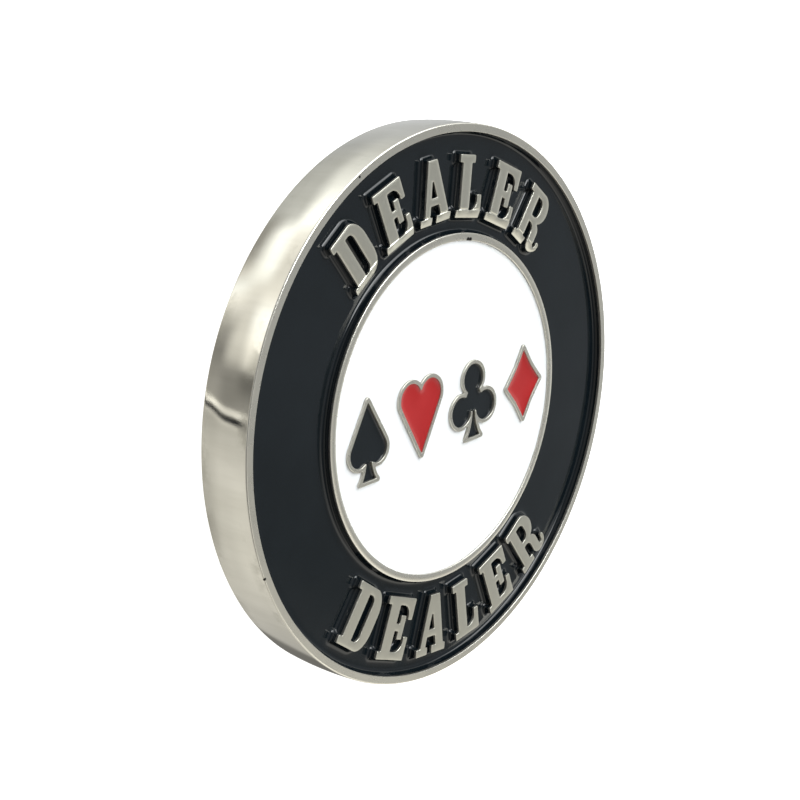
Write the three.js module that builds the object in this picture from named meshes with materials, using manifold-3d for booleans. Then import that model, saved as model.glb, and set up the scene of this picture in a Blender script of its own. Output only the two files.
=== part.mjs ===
// A poker dealer button: a thick round cast medal with the same relief on both faces.
// The casting carries an outer rim, an inner ring, two curved words and four suit outlines,
// and the recesses between them are filled with separate pieces of coloured enamel.
//
// Frame: the button lies flat, Z runs through its thickness and the origin is at the middle
// of its lower face. X runs along the row of suits, Y points to the upper word of the top face.

import * as THREE from 'three';
import { mergeVertices } from 'three/addons/utils/BufferGeometryUtils.js';
import Module from 'manifold-3d';

const manifold = await Module();
manifold.setup();

// ---------------------------------------------------------------- driving dimensions, mm

const RADIUS = 30;
const THICKNESS = 6.1;
const EDGE_CHAMFER = 0.2;
const RIM_INNER_RADIUS = 29.0;
const RING_OUTER_RADIUS = 18.7;
const RING_INNER_RADIUS = 17.9;

// The top face is the level of the rim, ring, letters and suit outlines. The other heights of
// the relief are depths below it.
const FACE = THICKNESS;
const CHANNEL_DEPTH = 1.5;
const BLACK_LEVEL = 1.0;
const DISH_DEPTH = 0.9;
const WHITE_LEVEL = 0.3;
const SUIT_LEVEL = 0.35;

// The width of the suits' raised outlines, the gap between enamel and metal walls, and how far
// a raised shape is rooted in the floor under it or a cut runs past the face.
const LINE_WIDTH = 0.4;
const FIT_GAP = 0.05;
const ROOT = 0.3;

const ROUND_SEGMENTS = 72;
const LETTER_ARC_DIVISIONS = 2;
const SUIT_ARC_DIVISIONS = 5;

// Each word: the letters' angles from the middle of the word, in degrees, the radius of the
// letters' feet, and their height. The upper word's feet point to the centre.
const LETTERS = ['d', 'e', 'a', 'l', 'e', 'r'];
const WORDS = {
  upper: { angles: [-37.7, -22.2, -6.2, 7.4, 22.5, 37.8], footRadius: 20.2, height: 6.47, feetInward: true },
  lower: { angles: [-38, -22.9, -7.5, 6, 20.5, 35.5], footRadius: 27.2, height: 6.79, feetInward: false },
};

// Middles of the suits along X.
const SUIT_X = { spade: -13.15, heart: -4.93, club: 3.88, diamond: 13.05 };

// ---------------------------------------------------------------- finishes

const PLATING = { color: 0xbdb9a9, roughness: 0.3, metalness: 1 };
const BLACK = { color: 0x17191b, roughness: 0.12, metalness: 0 };
const WHITE = { color: 0xf2f4f7, roughness: 0.12, metalness: 0 };
const RED = { color: 0xb02a28, roughness: 0.12, metalness: 0 };
const SUIT_FINISH = { spade: BLACK, heart: RED, club: BLACK, diamond: RED };

// ---------------------------------------------------------------- letters
// Condensed slab letters, drawn with a height of 1. The foot of each letter is on y = 0.

const SLAB = 0.125;
const STEM = 0.225;
const OVERHANG = 0.08;
const QUARTER = Math.PI / 2;

function path(...corners) {
  const line = new THREE.Path();
  corners.forEach(([x, y], index) => (index ? line.lineTo(x, y) : line.moveTo(x, y)));
  return line;
}

// The slabs and the left side of an upright stem, from its upper left corner to its lower left.
function addStemLeft(line, left) {
  line.lineTo(left, 1);
  line.lineTo(left, 1 - SLAB);
  line.lineTo(left + OVERHANG, 1 - SLAB);
  line.lineTo(left + OVERHANG, SLAB);
  line.lineTo(left, SLAB);
}

function letterD() {
  const left = -0.34;
  const inside = left + OVERHANG + STEM;
  const outline = path([left, 0], [0.116, 0]);
  outline.absellipse(0.116, 0.38, 0.235, 0.38, -QUARTER, 0, false, 0);
  outline.absellipse(0.116, 0.62, 0.235, 0.38, 0, QUARTER, false, 0);
  addStemLeft(outline, left);
  const counter = path([inside, 1 - SLAB], [inside, SLAB]);
  counter.absellipse(0.03, 0.235, 0.1, 0.11, -QUARTER, 0, false, 0);
  counter.absellipse(0.03, 0.765, 0.1, 0.11, 0, QUARTER, false, 0);
  return { outline, counter };
}

function letterE() {
  const left = -0.335;
  const right = 0.335;
  const inside = left + OVERHANG + STEM;
  const outline = path([left, 0], [right, 0], [right, 0.38], [0.235, 0.38]);
  outline.absellipse(0.07, 0.3, 0.165, 0.175, 0, -QUARTER, true, 0);
  const middle = [
    [inside, SLAB], [inside, 0.46], [0.06, 0.46], [0.06, 0.33], [0.178, 0.33],
    [0.178, 0.715], [0.06, 0.715], [0.06, 0.575], [inside, 0.575], [inside, 1 - SLAB],
  ];
  middle.forEach(([x, y]) => outline.lineTo(x, y));
  outline.absellipse(0.07, 0.7, 0.165, 0.175, QUARTER, 0, true, 0);
  outline.lineTo(0.235, 0.655);
  outline.lineTo(right, 0.655);
  outline.lineTo(right, 1);
  addStemLeft(outline, left);
  return { outline };
}

function letterA() {
  const outline = path(
    [-0.385, 0], [-0.11, 0], [-0.11, SLAB], [-0.165, SLAB], [-0.134, 0.295], [0.068, 0.295],
    [0.1, SLAB], [0, SLAB], [0, 0], [0.345, 0], [0.345, SLAB], [0.29, SLAB],
    [0.109, 1], [-0.109, 1], [-0.29, SLAB], [-0.385, SLAB],
  );
  const counter = path([-0.103, 0.413], [0.04, 0.413], [-0.035, 0.74]);
  return { outline, counter };
}

function letterL() {
  const left = -0.276;
  const right = 0.331;
  const inside = left + OVERHANG + STEM;
  const outline = path([left, 0], [right, 0], [right, 0.38], [0.229, 0.38]);
  outline.absellipse(0.08, 0.29, 0.149, 0.165, 0, -QUARTER, true, 0);
  outline.lineTo(inside, SLAB);
  outline.lineTo(inside, 1 - SLAB);
  outline.lineTo(inside + OVERHANG, 1 - SLAB);
  outline.lineTo(inside + OVERHANG, 1);
  addStemLeft(outline, left);
  return { outline };
}

function letterR() {
  const left = -0.336;
  const inside = left + OVERHANG + STEM * 0.85;
  const outline = path([left, 0], [0.02, 0], [0.02, SLAB], [inside, SLAB], [inside, 0.42]);
  outline.absellipse(-0.01, 0.3, 0.105, 0.12, QUARTER, 0, true, 0);
  outline.absellipse(0.245, 0.15, 0.15, 0.15, -2 * QUARTER, -QUARTER, false, 0);
  outline.absellipse(0.245, 0.18, 0.19, 0.18, -QUARTER, 0, false, 0);
  outline.absellipse(0.397, 0.19, 0.038, 0.045, 0, 2 * QUARTER, false, 0);
  outline.absellipse(0.315, 0.17, 0.044, 0.065, 0, -2 * QUARTER, true, 0);
  outline.absellipse(0.13, 0.32, 0.141, 0.15, 0, 1.2, false, 0);
  outline.absellipse(0.1, 0.73, 0.223, 0.27, -1.2, QUARTER, false, 0);
  addStemLeft(outline, left);
  const counter = path([inside, 1 - SLAB], [inside, 0.535]);
  counter.absellipse(0.02, 0.66, 0.105, 0.125, -QUARTER, 0, false, 0);
  counter.absellipse(0.02, 0.75, 0.105, 0.125, 0, QUARTER, false, 0);
  return { outline, counter };
}

const DRAW_LETTER = { d: letterD, e: letterE, a: letterA, l: letterL, r: letterR };

// ---------------------------------------------------------------- suits
// Each suit is drawn around its own middle, in mm. Its edge is made of arcs and tangents, so
// growing it by some distance gives the exact parallel edge. Grown by 0 it is the inner edge
// of the raised outline.

const HEART = { lobeX: 1.564, lobeY: 2.586, lobeRadius: 1.675, sideAngle: THREE.MathUtils.degToRad(29.3) };
const SPADE = { lobeX: 1.28, lobeY: -1.23, lobeRadius: 1.48, sideAngle: THREE.MathUtils.degToRad(30.3) };
const SPADE_STEM = { top: -1.6, base: -4.33, neckHalf: 0.27, baseHalf: 1.06 };
const CLUB = { sideX: 2.05, sideY: -0.76, topY: 2.56, lobeRadius: 1.67, hubY: 0.3, hubRadius: 1.35 };
const CLUB_STEM = { top: -0.9, base: -3.94, neckHalf: 0.2, baseHalf: 1.1 };
const DIAMOND = { halfWidth: 3.05, halfHeight: 3.95, sideRadius: 20 };

// Two lobes side by side, closed by two straight sides that touch them and meet in a tip.
// up is 1 with the tip above the lobes and -1 with the tip below.
function lobesAndTip({ lobeX, lobeY, lobeRadius, sideAngle }, up, grow) {
  const radius = lobeRadius + grow;
  const tipY = lobeY + (up * (radius + lobeX * Math.cos(sideAngle))) / Math.sin(sideAngle);
  const cusp = Math.acos(lobeX / radius);
  const shape = new THREE.Shape();
  if (up > 0) {
    shape.absarc(-lobeX, lobeY, radius, 2 * QUARTER - sideAngle, 4 * QUARTER - cusp, false);
    shape.absarc(lobeX, lobeY, radius, 2 * QUARTER + cusp, 4 * QUARTER + sideAngle, false);
  } else {
    shape.absarc(lobeX, lobeY, radius, -sideAngle, 2 * QUARTER - cusp, false);
    shape.absarc(-lobeX, lobeY, radius, cusp, 2 * QUARTER + sideAngle, false);
  }
  shape.lineTo(0, tipY);
  return shape;
}

// A stem that widens downwards, with hollow round sides that start upright at its neck.
function stem({ top, base, neckHalf, baseHalf }, grow) {
  const flare = baseHalf - neckHalf;
  const height = top - base;
  const sideRadius = (flare * flare + height * height) / (2 * flare);
  const sweep = Math.asin((height + grow) / (sideRadius - grow));
  const centerX = neckHalf + sideRadius;
  const shape = new THREE.Shape();
  shape.absarc(-centerX, top, sideRadius - grow, 0, -sweep, true);
  shape.absarc(centerX, top, sideRadius - grow, 2 * QUARTER + sweep, 2 * QUARTER, true);
  return shape;
}

function disc(x, y, radius) {
  const shape = new THREE.Shape();
  shape.absarc(x, y, radius, 0, 4 * QUARTER, false);
  return shape;
}

const DRAW_SUIT = {
  spade: (grow) => [lobesAndTip(SPADE, 1, grow), stem(SPADE_STEM, grow)],
  heart: (grow) => [lobesAndTip(HEART, -1, grow)],
  club: (grow) => [
    disc(0, CLUB.topY, CLUB.lobeRadius + grow),
    disc(-CLUB.sideX, CLUB.sideY, CLUB.lobeRadius + grow),
    disc(CLUB.sideX, CLUB.sideY, CLUB.lobeRadius + grow),
    disc(0, CLUB.hubY, CLUB.hubRadius + grow),
    stem(CLUB_STEM, grow),
  ],
  diamond: (grow) => [diamond(grow)],
};

// Four slightly hollow sides, each an arc around a centre out beyond the side.
function diamond(grow) {
  const { halfWidth, halfHeight, sideRadius } = DIAMOND;
  const halfChord = Math.hypot(halfWidth, halfHeight) / 2;
  const reach = Math.sqrt(sideRadius ** 2 - halfChord ** 2) / (2 * halfChord);
  const centerX = halfWidth / 2 + halfHeight * reach;
  const centerY = halfHeight / 2 + halfWidth * reach;
  const radius = sideRadius - grow;
  const fromTip = Math.asin(centerX / radius);
  const fromSide = Math.asin(centerY / radius);
  const shape = new THREE.Shape();
  shape.absarc(centerX, centerY, radius, 2 * QUARTER + fromSide, 3 * QUARTER - fromTip, true);
  shape.absarc(-centerX, centerY, radius, -QUARTER + fromTip, -fromSide, true);
  shape.absarc(-centerX, -centerY, radius, fromSide, QUARTER - fromTip, true);
  shape.absarc(centerX, -centerY, radius, QUARTER + fromTip, 2 * QUARTER - fromSide, true);
  return shape;
}

// ---------------------------------------------------------------- solids

// Turns a closed three.js geometry into a solid that can be joined and cut.
function toSolid(geometry) {
  geometry.deleteAttribute('normal');
  geometry.deleteAttribute('uv');
  const merged = mergeVertices(geometry, 1e-5);
  const vertProperties = new Float32Array(merged.attributes.position.array);
  const triVerts = new Uint32Array(merged.index.array);
  return new manifold.Manifold(new manifold.Mesh({ numProp: 3, vertProperties, triVerts }));
}

function toGeometry(solid) {
  const { vertProperties, triVerts } = solid.getMesh();
  const geometry = new THREE.BufferGeometry();
  geometry.setAttribute('position', new THREE.BufferAttribute(vertProperties, 3));
  geometry.setIndex(new THREE.BufferAttribute(triVerts, 1));
  return geometry;
}

const unite = (solids) => solids.reduce((whole, solid) => whole.add(solid));

// A closed profile of [radius, height] points, turned about Z.
function turn(profile) {
  const points = profile.map(([radius, height]) => new THREE.Vector2(radius, height));
  const geometry = new THREE.LatheGeometry(points, ROUND_SEGMENTS);
  geometry.rotateX(QUARTER);
  return toSolid(geometry);
}

// A flat-topped plate of an outline, between two heights.
function plate(shape, bottom, top, place = new THREE.Matrix4()) {
  const options = { depth: top - bottom, bevelEnabled: false, curveSegments: SUIT_ARC_DIVISIONS };
  const geometry = new THREE.ExtrudeGeometry(shape, options);
  geometry.translate(0, 0, bottom);
  geometry.applyMatrix4(place);
  return toSolid(geometry);
}

// Moves every corner of a closed anticlockwise outline outwards, keeping its sides parallel.
function growOutline(points, distance) {
  return points.map((point, index) => {
    const before = points[(index + points.length - 1) % points.length];
    const after = points[(index + 1) % points.length];
    const sideIn = point.clone().sub(before).normalize();
    const sideOut = after.clone().sub(point).normalize();
    const outward = new THREE.Vector2(sideIn.y + sideOut.y, -sideIn.x - sideOut.x);
    return point.clone().addScaledVector(outward, distance / (1 + sideIn.dot(sideOut)));
  });
}

// A letter's outline or counter as a full-size shape.
function letterShape(line, height, grow = 0) {
  const points = line.getPoints(LETTER_ARC_DIVISIONS).map((point) => point.multiplyScalar(height));
  const corners = points.filter((point, index) => point.distanceTo(points.at(index - 1)) > 1e-6);
  return new THREE.Shape(growOutline(corners, grow));
}

// Where a letter stands on the top face: upright in the upper word with its foot towards the
// centre, and upright in the lower word with its foot towards the rim.
function letterPlace({ feetInward, footRadius }, degrees) {
  const angle = THREE.MathUtils.degToRad(degrees);
  const side = feetInward ? 1 : -1;
  const place = new THREE.Matrix4().makeRotationZ(-side * angle);
  return place.multiply(new THREE.Matrix4().makeTranslation(0, side * footRadius, 0));
}

// The casting's blank: the core, with a rim and a ring standing up on both faces.
function turnedBlank() {
  const topHalf = [
    [0, FACE - DISH_DEPTH],
    [RING_INNER_RADIUS, FACE - DISH_DEPTH],
    [RING_INNER_RADIUS, FACE],
    [RING_OUTER_RADIUS, FACE],
    [RING_OUTER_RADIUS, FACE - CHANNEL_DEPTH],
    [RIM_INNER_RADIUS, FACE - CHANNEL_DEPTH],
    [RIM_INNER_RADIUS, FACE],
    [RADIUS - EDGE_CHAMFER, FACE],
    [RADIUS, FACE - EDGE_CHAMFER],
  ];
  const bottomHalf = topHalf.map(([radius, height]) => [radius, THICKNESS - height]);
  return turn([...bottomHalf, ...topHalf.reverse()]);
}

// Every letter of both words of the top face.
const FACE_LETTERS = Object.entries(WORDS).flatMap(([wordName, word]) =>
  LETTERS.map((letter, index) => ({
    name: `${wordName}_${letter}`,
    drawing: DRAW_LETTER[letter](),
    height: word.height,
    place: letterPlace(word, word.angles[index]),
  })),
);
const SUITS = Object.keys(SUIT_X);

function suitSolid(suit, grow, bottom, top) {
  const place = new THREE.Matrix4().makeTranslation(SUIT_X[suit], 0, 0);
  return unite(DRAW_SUIT[suit](grow).map((shape) => plate(shape, bottom, top, place)));
}

// The raised letters and suit outlines of the top face.
function relief() {
  const letters = FACE_LETTERS.map(({ drawing, height, place }) => {
    const shape = letterShape(drawing.outline, height);
    const whole = plate(shape, FACE - CHANNEL_DEPTH - ROOT, FACE, place);
    if (!drawing.counter) {
      return whole;
    }
    const hole = plate(letterShape(drawing.counter, height), FACE - CHANNEL_DEPTH, FACE + ROOT, place);
    return whole.subtract(hole);
  });
  const outlines = SUITS.map((suit) =>
    suitSolid(suit, LINE_WIDTH, FACE - DISH_DEPTH - ROOT, FACE).subtract(
      suitSolid(suit, 0, FACE - DISH_DEPTH, FACE + ROOT),
    ),
  );
  return unite([...letters, ...outlines]);
}

// The enamel pieces of the top face, by name.
function enamel() {
  const pieces = {};
  const channel = turn([
    [RING_OUTER_RADIUS + FIT_GAP, FACE - CHANNEL_DEPTH],
    [RIM_INNER_RADIUS - FIT_GAP, FACE - CHANNEL_DEPTH],
    [RIM_INNER_RADIUS - FIT_GAP, FACE - BLACK_LEVEL],
    [RING_OUTER_RADIUS + FIT_GAP, FACE - BLACK_LEVEL],
    [RING_OUTER_RADIUS + FIT_GAP, FACE - CHANNEL_DEPTH],
  ]);
  const letterHoles = FACE_LETTERS.map(({ drawing, height, place }) =>
    plate(letterShape(drawing.outline, height, FIT_GAP), FACE - CHANNEL_DEPTH - ROOT, FACE, place),
  );
  pieces.black_field = { solid: channel.subtract(unite(letterHoles)), finish: BLACK };

  for (const { name, drawing, height, place } of FACE_LETTERS.filter(({ drawing }) => drawing.counter)) {
    const shape = letterShape(drawing.counter, height, -FIT_GAP);
    const solid = plate(shape, FACE - CHANNEL_DEPTH, FACE - BLACK_LEVEL, place);
    pieces[`${name}_counter`] = { solid, finish: BLACK };
  }

  const dish = turn([
    [0, FACE - DISH_DEPTH],
    [RING_INNER_RADIUS - FIT_GAP, FACE - DISH_DEPTH],
    [RING_INNER_RADIUS - FIT_GAP, FACE - WHITE_LEVEL],
    [0, FACE - WHITE_LEVEL],
  ]);
  const suitHoles = SUITS.map((suit) =>
    suitSolid(suit, LINE_WIDTH + FIT_GAP, FACE - DISH_DEPTH - ROOT, FACE),
  );
  pieces.white_field = { solid: dish.subtract(unite(suitHoles)), finish: WHITE };

  for (const suit of SUITS) {
    const solid = suitSolid(suit, -FIT_GAP, FACE - DISH_DEPTH, FACE - SUIT_LEVEL);
    pieces[suit] = { solid, finish: SUIT_FINISH[suit] };
  }
  return pieces;
}

// ---------------------------------------------------------------- assembly

const button = new THREE.Group();

function addMesh(name, geometry, finish) {
  const mesh = new THREE.Mesh(geometry, new THREE.MeshStandardMaterial(finish));
  mesh.name = name;
  button.add(mesh);
}

// Turning the button over about X puts its top face underneath.
const TURN_OVER = new THREE.Matrix4().makeScale(1, -1, -1).setPosition(0, 0, THICKNESS);
const turnOver = (solid) => toSolid(toGeometry(solid).applyMatrix4(TURN_OVER));

const raised = relief();
addMesh('cast_body', toGeometry(unite([turnedBlank(), raised, turnOver(raised)])), PLATING);

for (const [name, { solid, finish }] of Object.entries(enamel())) {
  addMesh(`front_${name}`, toGeometry(solid), finish);
  addMesh(`back_${name}`, toGeometry(turnOver(solid)), finish);
}

export default button;
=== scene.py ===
# Looks of a poker dealer button: a nickel-plated casting whose recesses hold soft enamel.
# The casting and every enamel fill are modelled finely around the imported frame. The top face
# is made once, and the lower face is the same relief with the button turned over.
# Lengths are in millimetres until a mesh is made. Angles are in degrees.

import math

import bmesh
import bpy
import numpy as np
from mathutils import Matrix, Vector, noise
from mathutils.bvhtree import BVHTree
from mathutils.geometry import delaunay_2d_cdt


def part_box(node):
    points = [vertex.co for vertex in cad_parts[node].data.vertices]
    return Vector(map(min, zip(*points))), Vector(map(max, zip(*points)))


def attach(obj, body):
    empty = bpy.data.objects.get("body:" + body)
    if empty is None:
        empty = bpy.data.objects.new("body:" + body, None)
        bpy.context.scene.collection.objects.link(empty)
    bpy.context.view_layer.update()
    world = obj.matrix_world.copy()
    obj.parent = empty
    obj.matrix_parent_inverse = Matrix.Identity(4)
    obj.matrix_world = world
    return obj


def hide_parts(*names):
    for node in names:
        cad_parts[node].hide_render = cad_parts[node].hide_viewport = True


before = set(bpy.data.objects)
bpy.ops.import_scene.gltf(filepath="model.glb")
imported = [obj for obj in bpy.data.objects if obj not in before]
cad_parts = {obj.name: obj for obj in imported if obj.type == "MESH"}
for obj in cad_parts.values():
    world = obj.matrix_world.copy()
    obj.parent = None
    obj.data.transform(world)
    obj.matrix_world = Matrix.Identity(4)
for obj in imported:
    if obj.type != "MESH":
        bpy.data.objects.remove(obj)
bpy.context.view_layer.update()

MM = 0.001

# ---------------------------------------------------------------- sizes from the frame

# FACE is the height of the top face, and depths are measured down from it. FIT_GAP is the gap
# that the frame leaves between enamel and metal.
FIT_GAP = 0.05
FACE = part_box("cast_body")[1].z / MM
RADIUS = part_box("cast_body")[1].x / MM


def depth_of_top(node):
    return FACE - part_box(node)[1].z / MM


def depth_of_bottom(node):
    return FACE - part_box(node)[0].z / MM


RIM_INNER_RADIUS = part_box("front_black_field")[1].x / MM + FIT_GAP
CHANNEL_DEPTH = depth_of_bottom("front_black_field")
BLACK_LEVEL = depth_of_top("front_black_field")
RING_INNER_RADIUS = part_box("front_white_field")[1].x / MM + FIT_GAP
RING_WIDTH = 0.8
RING_OUTER_RADIUS = RING_INNER_RADIUS + RING_WIDTH
DISH_DEPTH = depth_of_bottom("front_white_field")
WHITE_LEVEL = depth_of_top("front_white_field")
SUIT_LEVEL = depth_of_top("front_spade")
SUIT_X = {
    suit: sum(corner.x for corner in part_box(f"front_{suit}")) / 2 / MM
    for suit in ("spade", "heart", "club", "diamond")
}

# Details that only the fine model has. A raised edge is rounded by EDGE_ROUND and followed by a
# flat EDGE_BORDER, and a suit's raised outline is LINE_WIDTH wide.
SIDE_FILLET = 0.14
SIDE_BULGE = 0.12
SIDE_WAVE = 0.014
SIDE_WAVE_LENGTHS = (5, 5, 3.2)
EDGE_ROUND = 0.05
EDGE_BORDER = 0.02
WALL_DRAFT = 0.03
LINE_WIDTH = 0.4
CORNER_RADIUS = 0.12
TIP_RADIUS = 0.1
RING_CROWN = 0.05

# The letters' tops are worn down towards their edges over WEAR_REACH. The feet of the upper
# word slope down by FOOT_SLOPE, with a groove above them that is GROOVE_HALF wide on each side.
FOOT_SLOPE = 0.24
GROOVE_HALF = 0.08
WEAR_REACH = 0.14

# The enamel runs ENAMEL_OVERLAP into the metal walls and stays BRIM below the face. The white
# field is filled WHITE_SUNK lower than in the frame.
ENAMEL_OVERLAP = 0.015
BRIM = 0.07
WHITE_SUNK = 0.04
RIPPLE_LENGTH = 3.5

# How finely shapes are divided: the longest side along an outline, the distances from a
# surface's walls of the rows of points beside them, the margin between the last row and the
# comb of points in the middle, and the spacing of that comb. The groove has rows of its own,
# which reach LETTER_HALF to both sides of a letter's middle.
ROUND_STEPS = 360
LOBE_STEPS = 64
HUB_STEPS = 48
QUARTER_STEPS = 4
ARC_STEP = 7.5
SUIT_SIDE = 0.25
LETTER_SIDE = 0.18
LETTER_ROWS = (0.045, 0.1, 0.17, 0.26)
LETTER_MARGIN = 0.12
LETTER_COMB = 0.35
LETTER_HALF = 3
GROOVE_ROWS = 9
GROOVE_STEP = 0.12
ENAMEL_SIDE = 0.28
ENAMEL_ROWS = (0.025, 0.06, 0.105, 0.16, 0.23, 0.33, 0.47, 0.68)
ENAMEL_MARGIN = 0.25
ENAMEL_COMB = 0.55
WELD_DISTANCE = 0.0004

# A corner is rounded where the outline turns by more than SHARP_TURN. Its fillet gets room of
# ROOM_SHARE times the length that it takes from a side, and no more than MOST_ROOM.
SHARP_TURN = math.radians(20)
ROOM_SHARE = 2.4
MOST_ROOM = 0.8

# ---------------------------------------------------------------- outlines
# An outline is an anticlockwise list of (x, y) points.


def arc(x, y, radius_x, radius_y, start, end):
    """Points of an elliptical arc between two angles, both ends included."""
    count = max(2, round(abs(end - start) / ARC_STEP))
    angles = np.radians(np.linspace(start, end, count + 1))
    return [(x + radius_x * math.cos(angle), y + radius_y * math.sin(angle)) for angle in angles]


def circle(radius, x=0.0, y=0.0, count=ROUND_STEPS):
    angles = np.linspace(0, 2 * math.pi, count, endpoint=False)
    return [(x + radius * math.cos(angle), y + radius * math.sin(angle)) for angle in angles]


def without_repeats(outline):
    """The outline without points that lie on the one before."""
    return [p for i, p in enumerate(outline) if math.dist(p, outline[i - 1]) > 1e-5]


def soften(outline, radius, hollow_radius):
    """Rounds the sharp corners of an outline: radius where they stand out, hollow_radius where not."""
    result = []
    for i, corner in enumerate(outline):
        before = Vector(outline[i - 1]) - Vector(corner)
        after = Vector(outline[(i + 1) % len(outline)]) - Vector(corner)
        turn = math.pi - before.angle(after)
        if turn < SHARP_TURN:
            result.append(corner)
            continue
        side = 1 if after.cross(before) > 0 else -1
        wanted = radius if side > 0 else hollow_radius
        reach = min(wanted * math.tan(turn / 2), 0.45 * before.length, 0.45 * after.length)
        fillet = reach / math.tan(turn / 2)
        toward = (before.normalized() + after.normalized()).normalized()
        center = Vector(corner) + toward * (fillet / math.cos(turn / 2))
        middle = math.atan2(-toward.y, -toward.x)
        for t in np.linspace(-1, 1, 1 + max(3, round(math.degrees(turn) / 18))):
            angle = middle + side * t * turn / 2
            result.append((center.x + fillet * math.cos(angle), center.y + fillet * math.sin(angle)))
    return without_repeats(result)


def clear_corners(outline, radius, hollow_radius):
    """Drops the points that crowd a sharp corner, so that its whole fillet has room."""
    rooms = {}
    for i, corner in enumerate(outline):
        into = Vector(corner) - Vector(outline[i - 1])
        out = Vector(outline[(i + 1) % len(outline)]) - Vector(corner)
        turn = into.angle(out)
        if turn > SHARP_TURN:
            wanted = radius if into.cross(out) > 0 else hollow_radius
            rooms[corner] = min(MOST_ROOM, ROOM_SHARE * wanted * math.tan(turn / 2))
    return [
        point
        for point in outline
        if point in rooms or all(math.dist(point, corner) > room for corner, room in rooms.items())
    ]


def subdivide(outline, spacing):
    """The same outline with no side longer than the spacing."""
    result = []
    for i, start in enumerate(outline):
        end = outline[(i + 1) % len(outline)]
        count = max(1, math.ceil(math.dist(start, end) / spacing))
        result.extend(tuple(np.add(start, np.subtract(end, start) * k / count)) for k in range(count))
    return result


def outward(outline):
    """For each point, the step outwards that moves both sides next to it by 1."""
    points = np.array(outline)
    into = points - np.roll(points, 1, axis=0)
    into /= np.linalg.norm(into, axis=1)[:, None]
    out = np.roll(into, -1, axis=0)
    both = into + out
    mitre = 1 + (into * out).sum(axis=1)
    return np.stack([both[:, 1], -both[:, 0]], axis=1) / mitre[:, None]


def grow(outline, distance):
    """The outline moved outwards by a distance, with as many points as before."""
    return [tuple(p) for p in np.array(outline) + outward(outline) * distance]


# ---------------------------------------------------------------- letters
# Condensed slab letters with a height of 1 and the foot on y = 0, as in the frame. A word's side
# is 1 where the letters' feet point to the centre and -1 where their heads do. Its foot_slope,
# groove and wear are depths.

SLAB = 0.125
STEM = 0.225
OVERHANG = 0.08
LETTERS = "dealer"
WORDS = {
    "upper": {
        "angles": (-37.7, -22.2, -6.2, 7.4, 22.5, 37.8),
        "foot_radius": 20.2,
        "height": 6.47,
        "side": 1,
        "foot_slope": FOOT_SLOPE,
        "groove": 0.07,
        "wear": 0.045,
    },
    "lower": {
        "angles": (-38, -22.9, -7.5, 6, 20.5, 35.5),
        "foot_radius": 27.2,
        "height": 6.79,
        "side": -1,
        "foot_slope": 0.0,
        "groove": 0.0,
        "wear": 0.015,
    },
}


def stem_left(left):
    """The left side of an upright stem with its slabs, from the top down."""
    return [
        (left, 1), (left, 1 - SLAB), (left + OVERHANG, 1 - SLAB),
        (left + OVERHANG, SLAB), (left, SLAB),
    ]


def letter_d():
    left = -0.34
    inside = left + OVERHANG + STEM
    outline = [
        (left, 0), (0.116, 0),
        *arc(0.116, 0.38, 0.235, 0.38, -90, 0),
        *arc(0.116, 0.62, 0.235, 0.38, 0, 90),
        *stem_left(left),
    ]
    counter = [
        (inside, 1 - SLAB), (inside, SLAB),
        *arc(0.03, 0.235, 0.1, 0.11, -90, 0),
        *arc(0.03, 0.765, 0.1, 0.11, 0, 90),
    ]
    return outline, counter


def letter_e():
    left, right = -0.335, 0.335
    inside = left + OVERHANG + STEM
    outline = [
        (left, 0), (right, 0), (right, 0.38), (0.235, 0.38),
        *arc(0.07, 0.3, 0.165, 0.175, 0, -90),
        (inside, SLAB), (inside, 0.46), (0.06, 0.46), (0.06, 0.33), (0.178, 0.33),
        (0.178, 0.715), (0.06, 0.715), (0.06, 0.575), (inside, 0.575), (inside, 1 - SLAB),
        *arc(0.07, 0.7, 0.165, 0.175, 90, 0),
        (0.235, 0.655), (right, 0.655),
        (right, 1),
        *stem_left(left),
    ]
    return outline, None


def letter_a():
    outline = [
        (-0.385, 0), (-0.11, 0), (-0.11, SLAB), (-0.165, SLAB), (-0.134, 0.295), (0.068, 0.295),
        (0.1, SLAB), (0, SLAB), (0, 0), (0.345, 0), (0.345, SLAB), (0.29, SLAB),
        (0.109, 1), (-0.109, 1), (-0.29, SLAB), (-0.385, SLAB),
    ]
    counter = [(-0.103, 0.413), (0.04, 0.413), (-0.035, 0.74)]
    return outline, counter


def letter_l():
    left, right = -0.276, 0.331
    inside = left + OVERHANG + STEM
    outline = [
        (left, 0), (right, 0), (right, 0.38), (0.229, 0.38),
        *arc(0.08, 0.29, 0.149, 0.165, 0, -90),
        (inside, SLAB), (inside, 1 - SLAB), (inside + OVERHANG, 1 - SLAB), (inside + OVERHANG, 1),
        *stem_left(left),
    ]
    return outline, None


def letter_r():
    left = -0.336
    inside = left + OVERHANG + STEM * 0.85
    outline = [
        (left, 0), (0.02, 0), (0.02, SLAB), (inside, SLAB), (inside, 0.42),
        *arc(-0.01, 0.3, 0.105, 0.12, 90, 0),
        *arc(0.245, 0.15, 0.15, 0.15, -180, -90),
        *arc(0.245, 0.18, 0.19, 0.18, -90, 0),
        *arc(0.397, 0.19, 0.038, 0.045, 0, 180),
        *arc(0.315, 0.17, 0.044, 0.065, 0, -180),
        *arc(0.13, 0.32, 0.141, 0.15, 0, 68.75),
        *arc(0.1, 0.73, 0.223, 0.27, -68.75, 90),
        *stem_left(left),
    ]
    counter = [
        (inside, 1 - SLAB), (inside, 0.535),
        *arc(0.02, 0.66, 0.105, 0.125, -90, 0),
        *arc(0.02, 0.75, 0.105, 0.125, 0, 90),
    ]
    return outline, counter


DRAW_LETTER = {"d": letter_d, "e": letter_e, "a": letter_a, "l": letter_l, "r": letter_r}


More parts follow.
